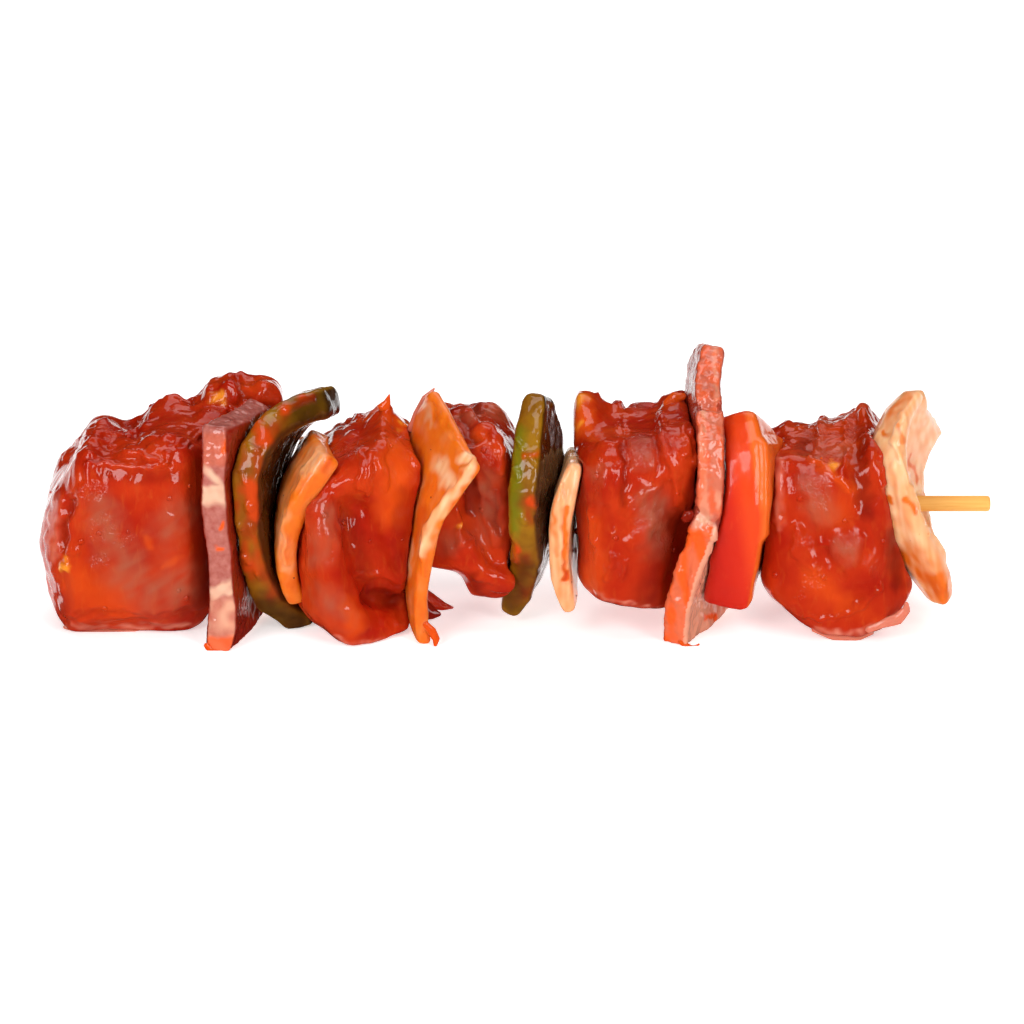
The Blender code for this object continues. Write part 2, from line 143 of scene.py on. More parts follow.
def meat_finish():
    """Raw pork under a wet marinade: an orange-red film, dark red painted shade in folds, painted highlights
    along ridges and rims, and brownish where it is thin.
    """
    add, shade = new_finish("wet marinated pork")
    place = add("TexCoord", out="Object")
    clouds = add("TexNoise", {"Vector": place, "Scale": per_mm(9), "Detail": 3.0})
    drawn_out = add("Mapping", {"Vector": place, "Scale": (1.0, 1.0, 0.35)})
    fibres = add("TexNoise", {"Vector": drawn_out, "Scale": per_mm(1.6), "Detail": 3.0, "Distortion": 0.8})
    crinkle = add("TexNoise", {"Vector": place, "Scale": per_mm(1.0), "Detail": 1.0, "Distortion": 1.5})
    swell = add("TexNoise", {"Vector": place, "Scale": per_mm(5), "Detail": 0.5, "Distortion": 0.8})
    cloudy = add("MapRange", {"Value": clouds, "From Min": 0.35, "From Max": 0.65})
    base = add("Mix", {FACTOR: cloudy, COLOUR_A: "#A41A04", COLOUR_B: "#BA300C"}, MIXED, data_type="RGBA")
    streaky = add("MapRange", {"Value": fibres, "From Min": 0.55, "From Max": 0.85, "To Max": 0.7})
    base = add("Mix", {FACTOR: streaky, COLOUR_A: base, COLOUR_B: "#BC4416"}, MIXED, data_type="RGBA")
    layers = {
        "warm": "#DE520E",
        "bare": "#A2583F",
        # Dark red: painted shade in the folds, grooves and hollows of the meat
        "deep": "#6A0A02",
        "amber": "#EC8A26",
        # Pale pink: painted highlights and reflections along ridges and rims, and pale lines along the
        # bottoms
        "pale": "#D48068",
    }
    base = cover(add, base, layers)
    crinkled = add("Attribute", out="Fac", attribute_name="crinkle")
    rough = add("Bump", {"Height": fibres, "Strength": 0.3, "Distance": 0.4 * MM})
    film = add("Bump", {"Height": swell, "Strength": 0.45, "Distance": 1.2 * MM})
    film = add("Bump", {"Height": crinkle, "Strength": crinkled, "Distance": 0.6 * MM, "Normal": film})
    return shade(
        {
            "Base Color": base,
            "Roughness": 0.55,
            "Specular IOR Level": 0.05,
            "Normal": rough,
            "Subsurface Weight": 0.15,
            "Subsurface Radius": (1.0, 0.25, 0.08),
            "Subsurface Scale": 1.5 * MM,
            "Coat Weight": 1.0,
            "Coat Roughness": 0.04,
            "Coat IOR": 1.4,
            "Coat Normal": film,
        }
    )


def bacon_finish():
    """Cured meat: dusky pink lean with creamy fat bands, and thin marinade and painted shade on the broad
    sides.
    """
    add, shade = new_finish("moist bacon")
    place = add("TexCoord", out="Object")
    drawn_out = add("Mapping", {"Vector": place, "Scale": (1.0, 0.35, 1.0)})
    grain = add("TexNoise", {"Vector": drawn_out, "Scale": per_mm(1.3), "Detail": 3.0})
    film = add("TexNoise", {"Vector": place, "Scale": per_mm(2.2), "Detail": 1.0, "Distortion": 0.6})
    grainy = add("MapRange", {"Value": grain, "From Min": 0.3, "From Max": 0.75})
    lean = add("Mix", {FACTOR: grainy, COLOUR_A: "#A85448", COLOUR_B: "#C0766A"}, MIXED, data_type="RGBA")
    # The sauce colour also stands for painted shade on the broad sides
    layers = {"fat": "#E6B496", "warm": "#D4603A", "stain": "#EC560E", "sauce": "#8A1A06"}
    return shade(
        {
            "Base Color": cover(add, lean, layers),
            "Roughness": 0.45,
            "Specular IOR Level": 0.2,
            "Normal": add("Bump", {"Height": grain, "Strength": 0.4, "Distance": 0.3 * MM}),
            "Subsurface Weight": 0.15,
            "Subsurface Radius": (1.0, 0.4, 0.25),
            "Subsurface Scale": 1.5 * MM,
            "Coat Weight": 0.9,
            "Coat Roughness": 0.06,
            "Coat Normal": add("Bump", {"Height": film, "Strength": 0.35, "Distance": 0.7 * MM}),
        }
    )


def green_pepper_finish():
    """Olive pepper wall, shiny and smeared with marinade, with painted shade on its inner side and lower
    end.
    """
    add, shade = new_finish("wet green pepper")
    place = add("TexCoord", out="Object")
    clouds = add("TexNoise", {"Vector": place, "Scale": per_mm(6), "Detail": 4.0})
    film = add("TexNoise", {"Vector": place, "Scale": per_mm(2.6), "Detail": 1.0})
    cloudy = add("MapRange", {"Value": clouds, "From Min": 0.35, "From Max": 0.65})
    skin = add("Mix", {FACTOR: cloudy, COLOUR_A: "#784606", COLOUR_B: "#98680A"}, MIXED, data_type="RGBA")
    layers = {"green": "#6C7008", "stain": "#9A3C06", "sauce": "#C43E06", "shade": "#2A0C02"}
    return shade(
        {
            "Base Color": cover(add, skin, layers),
            "Roughness": 0.5,
            "Specular IOR Level": 0.1,
            "Subsurface Weight": 0.1,
            "Subsurface Radius": (1.0, 0.7, 0.2),
            "Subsurface Scale": 1.5 * MM,
            "Coat Weight": 1.0,
            "Coat Roughness": 0.05,
            "Coat IOR": 1.4,
            "Coat Normal": add("Bump", {"Height": film, "Strength": 0.5, "Distance": 0.9 * MM}),
        }
    )


def red_pepper_finish():
    """Tight red skin that turns orange towards the cut edge."""
    add, shade = new_finish("wet red pepper")
    place = add("TexCoord", out="Object")
    drawn_out = add("Mapping", {"Vector": place, "Scale": (1.0, 1.0, 0.3)})
    pores = add("TexNoise", {"Vector": drawn_out, "Scale": per_mm(0.8), "Detail": 3.0})
    pored = add("MapRange", {"Value": pores, "From Min": 0.6, "From Max": 0.8, "To Max": 0.4})
    skin = add("Mix", {FACTOR: pored, COLOUR_A: "#CE2406", COLOUR_B: "#E45420"}, MIXED, data_type="RGBA")
    layers = {"deep": "#BC1402", "warm": "#E0400C", "flesh": "#E8641A"}
    return shade(
        {
            "Base Color": cover(add, skin, layers),
            "Roughness": 0.4,
            "Specular IOR Level": 0.2,
            "Normal": add("Bump", {"Height": pores, "Strength": 0.2, "Distance": 0.2 * MM}),
            "Subsurface Weight": 0.2,
            "Subsurface Radius": (1.0, 0.3, 0.1),
            "Subsurface Scale": 1.5 * MM,
            "Coat Weight": 0.8,
            "Coat Roughness": 0.1,
            "Coat IOR": 1.36,
        }
    )


def onion_finish():
    """Translucent onion: orange where the marinade soaked in, cream where it didn't, with fine veins."""
    add, shade = new_finish("marinated onion")
    place = add("TexCoord", out="Object")
    clouds = add("TexNoise", {"Vector": place, "Scale": per_mm(3), "Detail": 4.0})
    dots = add("TexNoise", {"Vector": place, "Scale": per_mm(0.9), "Detail": 1.0})
    veins = add("Attribute", out="Fac", attribute_name="veins")
    soaked = add("Mix", {FACTOR: clouds, COLOUR_A: "#DE5604", COLOUR_B: "#F0801A"}, MIXED, data_type="RGBA")
    flesh = add("Mix", {FACTOR: veins, COLOUR_A: "#ECAE78", COLOUR_B: "#F6CC9E"}, MIXED, data_type="RGBA")
    cream = add("Attribute", out="Fac", attribute_name="cream")
    base = add("Mix", {FACTOR: cream, COLOUR_A: soaked, COLOUR_B: flesh}, MIXED, data_type="RGBA")
    base = cover(add, base, {"stain": "#E06A12", "sauce": "#CA4008"})
    dotted = add("MapRange", {"Value": dots, "From Min": 0.76, "From Max": 0.8, "To Max": 0.5})
    base = add("Mix", {FACTOR: dotted, COLOUR_A: base, COLOUR_B: "#A83E0A"}, MIXED, data_type="RGBA")
    return shade(
        {
            "Base Color": base,
            "Roughness": 0.45,
            "Specular IOR Level": 0.25,
            "Normal": add("Bump", {"Height": veins, "Strength": 0.25, "Distance": 0.2 * MM}),
            "Subsurface Weight": 0.5,
            "Subsurface Radius": (1.0, 0.5, 0.25),
            "Subsurface Scale": 3.5 * MM,
            "Coat Weight": 0.7,
            "Coat Roughness": 0.08,
            "Coat Normal": add("Bump", {"Height": clouds, "Strength": 0.3, "Distance": 0.5 * MM}),
        }
    )


def speck_finish():
    """Ground pepper and dried herbs in the marinade: dull and dark brown."""
    _, shade = new_finish("ground spice")
    return shade({"Base Color": "#5A1806", "Roughness": 0.6})


def bamboo_finish():
    """Dry pale bamboo with fine fibres along the stick."""
    add, shade = new_finish("plain bamboo")
    place = add("TexCoord", out="Object")
    drawn_out = add("Mapping", {"Vector": place, "Scale": (0.035, 1.0, 1.0)})
    fibres = add("TexNoise", {"Vector": drawn_out, "Scale": per_mm(0.35), "Detail": 4.0})
    base = add("Mix", {FACTOR: fibres, COLOUR_A: "#E49838", COLOUR_B: "#FCC868"}, MIXED, data_type="RGBA")
    rough = add("Bump", {"Height": fibres, "Strength": 0.3, "Distance": 0.1 * MM})
    return shade({"Base Color": base, "Roughness": 0.55, "Normal": rough})


# ---------------- fine surfaces

# Corners nearer than this are one
SAME_PLACE = 0.001 * MM

# How fast drawing gains strength as a surface turns towards the camera
SIGHT_SLOPE = 2

# How drawing wavers: the size of the noise's lumps, its parts for u and v, how many times more a spot's edge
# wavers than a stroke's, and how far a spot's middle goes past 1, which makes it even
WAVER_SIZE, WAVER_PARTS, RAGGED, EVEN = 2.2, (31, 47), 1.4, 1.5


def add_object(name, data):
    """Shows a mesh, a camera or a light as an object at the origin."""
    made = bpy.data.objects.new(name, data)
    bpy.context.scene.collection.objects.link(made)
    return made


def make_real(obj):
    """Turns an object with modifiers into a plain mesh."""
    graph = bpy.context.evaluated_depsgraph_get()
    done = bpy.data.meshes.new_from_object(obj.evaluated_get(graph))
    obj.modifiers.clear()
    obj.data = done


def fine_copy(node, cell, softening):
    """A node's solid divided into even cells of this size, with its facets softened away."""
    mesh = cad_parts[node].data.copy()
    mesh.materials.clear()
    shape = bmesh.new()
    shape.from_mesh(mesh)
    bmesh.ops.remove_doubles(shape, verts=shape.verts, dist=SAME_PLACE)
    shape.to_mesh(mesh)
    shape.free()
    obj = add_object(node + "_fine", mesh)
    cells = obj.modifiers.new("cells", "REMESH")
    cells.mode = "VOXEL"
    cells.voxel_size = cell * MM
    cells.use_smooth_shade = True
    soft = obj.modifiers.new("soft", "SMOOTH")
    soft.factor = 0.5
    soft.iterations = softening
    make_real(obj)
    return obj


def near_path(places, path, reach):
    """1 on the path, easing to 0 at that reach from it."""
    path = np.array(path, float)
    if len(path) == 1:
        path = np.repeat(path, 2, axis=0)
    nearest = np.full(len(places), np.inf)
    for start, end in zip(path, path[1:]):
        run = end - start
        share = np.clip((places - start) @ run / max(run @ run, 1e-9), 0, 1)
        away = np.linalg.norm(places - start - share[:, None] * run, axis=1)
        nearest = np.minimum(nearest, away)
    return np.clip(1 - (nearest / reach) ** 2, 0, 1) ** 2


def band(values, low, high, edge):
    """1 between low and high, easing to 0 over edge outside them."""
    rise = np.clip((values - low) / edge + 0.5, 0, 1)
    fall = np.clip((high - values) / edge + 0.5, 0, 1)
    return rise * fall


def seen(points):
    """(u, v) of each point: where the camera sees it."""
    nearness = CAMERA_DISTANCE / (CAMERA_DISTANCE + points @ FORWARD)
    return np.stack([points[:, 0], points @ UP], axis=1) * nearness[:, None]


class Skin:
    """The fine surface of one piece while it is worked.

    Its back is worked like its front, as if the piece were turned half round. Each call of lumps names a
    part of the noise, so that no two patterns on a piece are alike.
    """

    def __init__(self, node, cell, softening, seed):
        self.node, self.seed = node, seed
        self.obj = fine_copy(node, cell, softening)
        mesh = self.obj.data
        flat = np.empty(len(mesh.vertices) * 3)
        mesh.vertices.foreach_get("co", flat)
        self.points = (flat.reshape(-1, 3) - AXIS) / MM
        mesh.vertices.foreach_get("normal", flat)
        self.normals = flat.reshape(-1, 3).copy()
        middle = (self.points[:, 0].min() + self.points[:, 0].max()) / 2
        behind = self.points * MIRROR_Y
        behind[:, 0] = 2 * middle - behind[:, 0]
        self.sides = [
            (seen(self.points), np.clip(-SIGHT_SLOPE * self.normals @ FORWARD, 0, 1)),
            (seen(behind), np.clip(-SIGHT_SLOPE * (self.normals * MIRROR_Y) @ FORWARD, 0, 1)),
        ]
        self.waver = np.stack([self.lumps(WAVER_SIZE, part) for part in WAVER_PARTS], axis=1)

    def lumps(self, size, part, stretch=(1, 1, 1), lean=0):
        """Smooth noise about 0 with lumps of this size, drawn out by stretch and leaning by degrees."""
        offset = Vector((self.seed * 3.7 + part, self.seed * 1.3, self.seed * 2.9 - part))
        x, y, z = self.points.T
        cos, sin = math.cos(math.radians(lean)), math.sin(math.radians(lean))
        turned = np.stack([x * cos - z * sin, y, x * sin + z * cos], axis=1)
        return np.array([noise.noise(Vector(p) + offset) for p in turned / (np.array(stretch) * size)])

    def strokes(self, strokes):
        """The height of (path, reach, rise) strokes: ridges where they rise, grooves where they fall."""
        height = np.zeros(len(self.points))
        for path, reach, rise in strokes:
            for places, facing in self.sides:
                height += rise * facing * near_path(places + self.waver, path, reach)
        return height

    def washes(self, washes):
        """The strongest of the (path, reach, amount) washes, each fading evenly to its reach."""
        amount = np.zeros(len(self.points))
        for path, reach, strength in washes:
            for places, facing in self.sides:
                wash = strength * facing * near_path(places + self.waver, path, reach)
                amount = np.maximum(amount, wash)
        return amount

    def patches(self, spots):
        """1 within each (u, v, radius) spot, with a ragged edge."""
        amount = np.zeros(len(self.points))
        for u, v, radius in spots:
            for places, facing in self.sides:
                edge = near_path(places + RAGGED * self.waver, [(u, v)], RAGGED * radius)
                amount = np.maximum(amount, EVEN * facing * edge)
        return amount

    def push(self, height):
        """Raises the surface by these millimetres, but never through the table."""
        self.points += self.normals * height[:, None]
        self.points[:, 2] = np.maximum(self.points[:, 2], FLOOR)

    def paint(self, name, values):
        """Keeps an amount from 0 to 1 at each point, for the finish to read."""
        layer = self.obj.data.attributes.new(name, "FLOAT", "POINT")
        layer.data.foreach_set("value", np.clip(values, 0.0, 1.0))

    def finish(self, material):
        """Writes the worked surface back and puts it in its node's place."""
        mesh = self.obj.data
        mesh.vertices.foreach_set("co", (self.points * MM + AXIS).ravel())
        mesh.update()
        mesh.materials.clear()
        mesh.materials.append(material)
        mesh.shade_smooth()
        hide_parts(self.node)
        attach(self.obj, "root")
        return self


# ---------------- the meat

# For each chunk: the degrees its fibres lean, its ridges and grooves (path, reach, rise), its spots
# (u, v, radius) that are wrinkled, glint finely or hold amber fat, and its washes (path, reach, amount)
# of bare and warm colour, dark red painted shade, and pale colour with painted highlights
MEAT = {
    "pork_1": {
        "lean": 60,
        "strokes": [
            ([(-89.4, 9.5), (-87.2, 10.1), (-80.2, 10.5), (-75.8, 10.1), (-72.2, 8.7), (-69.4, 8.1),
              (-68.8, 9.5)], 1.1, 0.7),
            ([(-84.8, 8.1), (-80.2, 7.7), (-76.6, 7.3), (-73, 7.1), (-69.8, 7.7), (-68.6, 8.4)], 0.9, 0.6),
            ([(-87.2, 12.5), (-82, 11.9), (-77.2, 11.5), (-74.4, 12.9), (-71.6, 13.3)], 1.1, 0.7),
            ([(-85, 14.4), (-80, 13.6), (-77, 13.6)], 0.8, 0.45),
            ([(-82, 9.2), (-76, 8.8), (-71, 7.9)], 0.8, -0.6),
            ([(-84, 11.2), (-78, 10.9), (-73, 11)], 0.8, -0.5),
            ([(-84.2, 7), (-84.6, 3), (-86, 1), (-86.8, -2), (-87.4, -5.5), (-87.8, -9.5)], 1.9, 0.8),
            ([(-90.4, 1.7), (-91.6, -3.3), (-92, -10.5), (-91.2, -17.3)], 2.2, 0.6),
            ([(-88.4, 0.7), (-89.6, -5.3), (-89.6, -9)], 1.6, -0.8),
            ([(-89, -12.1)], 1.5, 1.1),
            ([(-76.6, 15.9), (-75.6, 13.9), (-74.4, 11.5)], 2, -1),
            ([(-80.2, 17.3)], 3, 0.6),
            ([(-87.2, 15.1)], 1.8, 0.7),
            ([(-68.8, 13.1), (-63.8, 14.5), (-58.8, 13.7), (-56, 16.7), (-55.6, 18.1),
              (-58.8, 20.1)], 1.5, 0.8),
            ([(-68, 11.9), (-64.8, 15.1)], 0.8, -0.5),
            ([(-66.4, 11.6), (-63, 14.2)], 0.7, -0.45),
            ([(-64.4, 11.2), (-61, 13.4)], 0.7, -0.45),
            ([(-71.4, 20.7), (-66, 21.3)], 1.4, 0.5),
            ([(-63, 10.7), (-63.2, -3.3), (-62.6, -19.3)], 3, -0.3),
            ([(-89.4, -23.7), (-84.4, -21.7), (-72.4, -22.9), (-61.4, -21.7)], 1.4, -0.5),
            ([(-54.8, 24.7), (-53.8, 21.5), (-52, 19.5)], 1.3, -1.2),
            ([(-56.6, 25.1), (-55.2, 21.1)], 1.8, 0.7),
            ([(-50, 25.1), (-50, 21.1)], 2.4, 0.7),
            ([(-59.4, 23), (-58.6, 19.4)], 1.2, -0.7),
        ],
        "wrinkled": [(-80, 12, 7), (-66, 16, 6), (-53, 22, 6)],
        "crinkle": [(-82, -4.5, 3.4), (-84, 2, 2), (-82, -11, 2), (-77.4, -7.4, 2.6), (-80, 14, 2)],
        "amber": [(-89, -12.1, 1.1), (-58.8, 21.2, 1.4)],
        "bare": [
            ([(-82, -2), (-80, -8)], 6, 0.6),
            ([(-78, -12), (-72, -18), (-66, -16)], 8, 0.6),
            ([(-66, -2), (-70, -6)], 6, 0.45),
        ],
        "warm": [
            ([(-88, -10), (-86, -20)], 5, 0.3),
            ([(-73.2, -6.3), (-72.6, -9.1)], 1, 0.6),
            ([(-69.8, -13.1), (-66.6, -10.9)], 1, 0.6),
        ],
        "deep": [([(-61.6, 8), (-61.6, -5), (-61.6, -20)], 3.4, 0.4), ([(-82, 5.6), (-66, 5.2)], 2, 0.3)],
        "pale": [
            ([(-91, 1.7), (-91.6, -3.3), (-91.6, -10.5)], 1.6, 0.45),
            ([(-88.4, -24.4), (-80.4, -24.9), (-62, -24)], 0.9, 0.7),
        ],
    },
    "pork_2": {
        "lean": 8,
        "strokes": [
            ([(-38, -3.3), (-38.8, -11.3), (-36.4, -19.3), (-32, -24.3)], 5, 1),
            ([(-33.6, -1.9), (-32.2, -8.5), (-30.6, -15.3), (-28.4, -19.7)], 1.9, -0.7),
            ([(-28, -18.5), (-24, -19.5)], 2.6, -1),
            ([(-30.6, -14.6), (-26, -14), (-22.6, -15.6)], 1.2, 0.6),
            ([(-30.4, 11.7), (-29.6, 7.7), (-30, 3.3)], 1.5, 0.8),
            ([(-29.4, 10), (-29.6, 3.3)], 0.7, -0.4),
            ([(-28.2, 9.5), (-28.6, 2.3)], 1.1, 0.6),
            ([(-37.4, 5), (-39.4, -1), (-37, 1)], 2.2, 0.7),
            ([(-24.8, 19.5), (-25.8, 15.5), (-26.2, 9.9), (-25.6, 4.1)], 1.6, 0.7),
            ([(-24.4, 19.6), (-24.2, 21.8)], 1, 1.8),
            ([(-29.4, -3.3), (-28.4, -11.3)], 4, 0.5),
            ([(-20.4, 15.7), (-20.6, 12.5), (-18.8, 8.3)], 1.8, 0.7),
            ([(-24.4, -23.7)], 3, 0.6),
            ([(-35.4, 12.7), (-32, 14.1)], 1.5, 0.6),
            ([(-41.4, 2), (-39, 6), (-36, 8)], 1.4, 0.6),
        ],
        "wrinkled": [(-34, 11, 4), (-37, -8, 4), (-38, -14, 3)],
        "crinkle": [(-33.5, 11, 2.4), (-40, -6, 2), (-36.5, -11, 1.6), (-39.5, -13.5, 1.4), (-41, 0, 1.6)],
        "amber": [(-22, 15.6, 1)],
        "bare": [
            ([(-37, -2), (-38, -10)], 3.6, 0.5),
            ([(-38, -18), (-34, -22)], 4, 0.5),
            ([(-34, 15)], 3, 0.5),
        ],
        "warm": [([(-23, 16), (-22.6, 6), (-24, -2)], 5, 0.9), ([(-33, -20), (-31, -24)], 3, 0.6)],
        "deep": [
            ([(-27.6, -18.2), (-23.6, -18.8)], 3, 0.7),
            ([(-31.6, -4), (-30, -12), (-28.6, -18)], 2.8, 0.35),
            ([(-22, 2), (-22.6, -12)], 2.6, 0.35),
        ],
        "pale": [([(-35.8, -26.6), (-30, -28), (-21, -27.2)], 0.9, 0.6)],
    },
    "pork_3": {
        "lean": -25,
        "strokes": [
            ([(-12.2, 19.5), (-8, 20.8), (-4.2, 19.2), (0.8, 16.7)], 1.3, 0.7),
            ([(-9.6, 17.3), (-7.8, 13)], 2, -1.2),
            ([(-8.4, 17.7), (-4, 14.7), (-2.2, 10.7), (-2.6, 6.9)], 1.7, 1),
            ([(-9.2, -7.9), (-6, -13.1), (-0.4, -15.9)], 3, 1.2),
            ([(-11.8, -0.7), (-10.4, -4), (-10.6, -8.5)], 1, 0.8),
            ([(-6, 4), (-5.4, -3), (-3, -8)], 1.5, 0.7),
            ([(-8.4, 6), (-8.4, -1)], 1.5, -0.9),
            ([(-3.6, 2), (-2.6, -6)], 1, -0.5),
        ],
        "wrinkled": [(-5, 2, 6), (-12, -8, 4)],
        "crinkle": [(-4.6, 8, 2.4), (-9, -7, 2), (-4, 2, 2), (-13, -8.4, 1.4), (-3, -2, 1.4)],
        "amber": [(-10.6, -4.4, 0.8)],
        "bare": [([(-5, 4), (-5.4, -6)], 4.6, 0.6), ([(-13, -8)], 4, 0.5), ([(-8, 19), (0, 17)], 2, 0.8)],
        "warm": [([(-7, 14), (-2.4, 10)], 2, 0.4)],
        "deep": [
            ([(-9.6, 14), (-8.8, 6), (-8.8, -1)], 2.4, 0.7),
            ([(-8, -14.6), (-6, -18.6)], 1.8, 0.6),
            ([(0.6, 14), (-0.4, -8)], 2.4, 0.6),
        ],
        "pale": [([(-12.6, 20.6), (-8, 21.4), (-4, 19.6), (0, 17.6)], 0.9, 0.5)],
    },
    "pork_4": {
        "lean": 20,
        "strokes": [
            ([(22.2, 15.7), (23, 8), (22.2, -1)], 1.4, -0.6),
            ([(22.8, -1.3), (26.6, 1.7), (30.8, 5.7)], 1.4, 0.7),
            ([(29.6, 17.7), (30.8, 10.5), (32.8, 5.1), (33.2, -0.1)], 1.4, 0.9),
            ([(28.4, 13), (29, 7)], 1.2, -0.7),
            ([(16, -1.5), (16.6, -7.5)], 1.5, 0.8),
            ([(19.4, 6), (18.8, 1)], 2.6, 0.6),
            ([(25.6, 13), (26.4, 8)], 2.8, 0.6),
            ([(34.6, 16), (34.8, 10)], 1, 0.7),
            ([(36.6, 15), (37, 8)], 1, 0.7),
            ([(35, -4), (32, -16)], 3.4, -0.6),
            ([(32.8, 21.5)], 2.5, 0.8),
            ([(24, -8), (30, -3)], 2.2, 0.7),
            ([(20, -11), (19, -15)], 1.2, 0.6),
            ([(22.6, -11), (22, -15)], 1, 0.5),
        ],
        "wrinkled": [(18, -8, 5), (28, -5, 5), (32, 16, 4)],
        "crinkle": [
            (27, -3, 3.8), (21, -12, 2.6), (16.5, -10, 2), (25.6, 11, 3.4), (30, -8, 2.6), (17, 4, 2.4),
            (31, 12, 2),
        ],
        "amber": [(13, 21, 2), (13, 16, 1)],
        "bare": [([(28, 0), (29, -8)], 5, 0.75), ([(17, 6)], 3, 0.4), ([(26, 12), (26, 8)], 3, 0.5)],
        "warm": [([(13.4, 22), (14, 16)], 4, 0.9), ([(16, -4), (17, -14)], 4, 0.4)],
        "deep": [
            ([(33, -4), (28.6, -19)], 6.4, 0.75),
            ([(22.3, 12), (22.4, 0)], 1.3, 0.5),
            ([(36, 4), (35, -4)], 1.8, 0.5),
        ],
        "pale": [([(14.2, -17.5), (21.4, -19.8), (30, -21.4)], 0.8, 0.6)],
    },
    "pork_5": {
        "lean": -15,
        "strokes": [
            ([(56, 14.3), (61.6, 15.1), (66.6, 14.7)], 0.8, 0.6),
            ([(56.6, 12.7), (60.6, 12.5), (63.6, 13.1)], 0.8, 0.5),
            ([(56, 11.2), (62, 11)], 0.7, -0.4),
            ([(69.4, 15.5), (69.2, 8), (70.6, 0)], 2.4, -0.6),
            ([(67.4, 16.1), (66.8, 10.9), (66.4, 5.5)], 1.2, 0.8),
            ([(67.2, -9.1)], 4.4, 1.1),
            ([(62.8, -9.1), (64.2, -12.5), (66.2, -13.9)], 1.4, -0.5),
            ([(64.8, -4.6), (68, -4), (70.4, -5.3)], 1.4, -0.35),
            ([(71, -6.3), (71.4, -9), (70.4, -11.5)], 1.6, -0.4),
            ([(62.2, -7.9)], 1.6, 0.7),
            ([(56.6, -5), (57, -10), (60, -13.4)], 1.6, 0.8),
            ([(58.6, -22.7), (64.6, -23.1), (71, -19.7), (73.8, -16.5)], 0.8, 0.6),
            ([(53.4, 9.5), (53.8, 0), (53.4, -5.5)], 1.3, 0.7),
            ([(60, 9), (64, 6), (67, 3)], 1.2, 0.6),
            ([(58, 4), (61, -1), (62, -4)], 2.2, 0.6),
            ([(57.4, -5), (58.6, -9), (60.4, -12)], 1.6, 0.8),
            ([(73.6, 14), (74.4, 4)], 1.6, 0.7),
            ([(70, 19)], 2, 0.7),
        ],
        "wrinkled": [(61, 14, 5), (62, 6, 5), (63, -16, 5), (72, -14, 3)],
        "crinkle": [
            (60, 2, 4.2), (58, -7, 2.6), (67.2, -9.1, 3.4), (72, -13, 2.4), (61, 14.6, 2.4), (61, -15.4, 3),
            (58, -18, 1.6), (63.6, 8.6, 2),
        ],
        "amber": [(64, 7.4, 1)],
        "bare": [([(60, 4), (62, -2)], 4.6, 0.6), ([(67, -9.1)], 4, 0.7), ([(58, 11), (66, 11)], 3, 0.5)],
        "warm": [
            ([(58, 15), (66, 16)], 5, 0.6),
            ([(60, 8.6), (64, 6.6), (67, 3)], 1.5, 0.8),
            ([(60, -14), (66, -20)], 3.4, 0.5),
            ([(68.4, 3)], 2, 0.6),
        ],
        "deep": [
            ([(69.6, 14), (69.6, 6), (71, -2)], 2.8, 0.6),
            ([(76, -6), (77, -16)], 2.6, 0.7),
            ([(49.4, 8), (49.6, -8)], 1.6, 0.5),
        ],
        "pale": [
            ([(53.4, 9), (53.6, -5)], 1.2, 0.45),
            ([(60.8, -25.4), (67.6, -26.4), (72, -25), (78, -22)], 1, 0.7),
        ],
    },
}


def make_meat(node, material):
    """A chunk of pork: lumps and creases everywhere, its own ridges and grooves, and colour, painted shade
    and painted highlights in washes.
    """
    facts = MEAT[node]
    skin = Skin(node, cell=0.42, softening=30, seed=int(node[-1]) * 10)
    wrinkled = 0.12 + 0.65 * np.clip(skin.patches(facts["wrinkled"]), 0, 1)
    creases = 1 - 2.4 * np.abs(skin.lumps(4.0, 5, (1, 1, 2.4), facts["lean"]))
    fibres = skin.lumps(1.1, 6, (1, 1, 5.0), facts["lean"])
    height = 0.4 * skin.lumps(6.5, 1) + 0.07 * skin.lumps(2.4, 2)
    height += wrinkled * (0.2 * creases + 0.1 * fibres)
    height += skin.strokes(facts["strokes"])
    skin.push(height)

    # Painted shade: dark red where the surface is well below its neighbours, and along each chunk's listed
    # creases
    hollow_shade = np.clip(-0.3 - height, 0, 1) * 0.6
    skin.paint("deep", np.maximum(hollow_shade, skin.washes(facts["deep"])))
    skin.paint("warm", 0.7 * skin.washes(facts["warm"]) + 0.4 * np.clip(skin.lumps(7.0, 8), 0, 1))
    skin.paint("bare", skin.washes(facts["bare"]) * (0.8 + 0.5 * fibres + 0.7 * skin.lumps(3.0, 9)))
    skin.paint("crinkle", 0.05 + 0.8 * skin.patches(facts["crinkle"]))
    skin.paint("amber", 0.9 * skin.patches(facts["amber"]))
    # Painted highlights and reflections along ridges and rims, and pale lines along the bottoms
    skin.paint("pale", skin.washes(facts["pale"]) * (0.7 + 0.8 * fibres))
    return skin.finish(material)


# ---------------- bacon, pepper and onion

# A v below and one above every piece
BELOW, ABOVE = -40.0, 60.0


def broad_sides(skin):
    """1 on the two large faces of a slice, which look along the stick, and 0 on its narrow cut edge."""
    return np.clip((np.abs(skin.normals[:, 0]) - 0.6) * 4, 0, 1)


